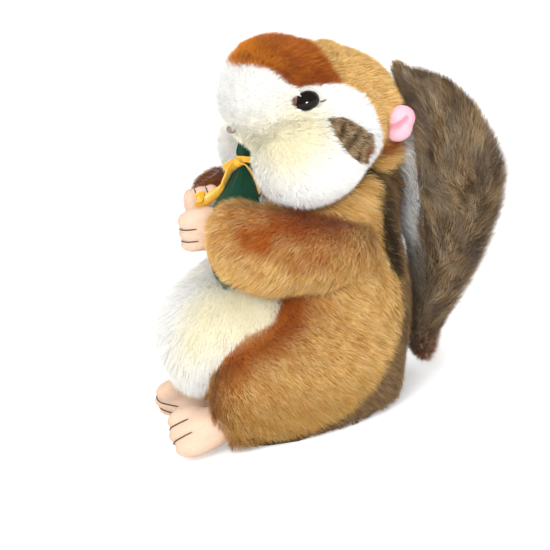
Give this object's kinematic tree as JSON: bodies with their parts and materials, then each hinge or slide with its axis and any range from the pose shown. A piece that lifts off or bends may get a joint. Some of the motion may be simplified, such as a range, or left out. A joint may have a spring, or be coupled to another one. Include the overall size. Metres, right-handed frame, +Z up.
{
  "type": "plush squirrel",
  "caption": "Plush squirrel toy sitting upright with a bushy raised tail, puffed cheeks and a forehead cap, hugging a small felt pouch tied with a satin ribbon.",
  "frame": {"origin": "centre of the flat seat, on the surface it sits on", "axes": "+Z up, -Y the way the squirrel faces, +X its left side"},
  "size_m": [0.0958, 0.1807, 0.1776],
  "materials": {
    "golden_plush": "long pile plush, tan gold with rust shading",
    "rust_plush": "long pile plush, rust orange",
    "white_plush": "short to medium pile plush, white",
    "cream_plush": "long soft pile plush, cream to white",
    "dark_plush": "pile plush, dark brown",
    "agouti_plush": "long pile plush, mixed grey brown with light tips",
    "paw_pile": "brushed short pile, pinkish beige",
    "pink_pile": "brushed short pile, pink",
    "green_felt": "wool felt, bottle green",
    "satin": "satin ribbon, golden yellow",
    "eye_bead": "glossy black",
    "lid_felt": "thin felt, pinkish brown",
    "nose_felt": "embroidery thread, grey brown",
    "base_cloth": "low pile, dark brown"
  },
  "bodies": {
    "root": {"body": "golden_plush", "head_back": "golden_plush", "arm_left": "rust_plush", "arm_right": "rust_plush", "forehead_cap": "rust_plush", "belly_panel": "white_plush", "face": "white_plush", "tail_front": "white_plush", "cheek_left": "cream_plush", "cheek_right": "cream_plush", "back_stripe_left": "dark_plush", "back_stripe_right": "dark_plush", "cheek_patch_left": "dark_plush", "cheek_patch_right": "dark_plush", "tail_back": "agouti_plush", "paw_left": "paw_pile", "paw_right": "paw_pile", "foot_left": "paw_pile", "foot_right": "paw_pile", "ear_left": "pink_pile", "ear_right": "pink_pile", "pouch": "green_felt", "ribbon": "satin", "eye_left": "eye_bead", "eye_right": "eye_bead", "eyelid_left": "lid_felt", "eyelid_right": "lid_felt", "nose": "nose_felt", "seat_panel": "base_cloth"}
  },
  "joints": []
}
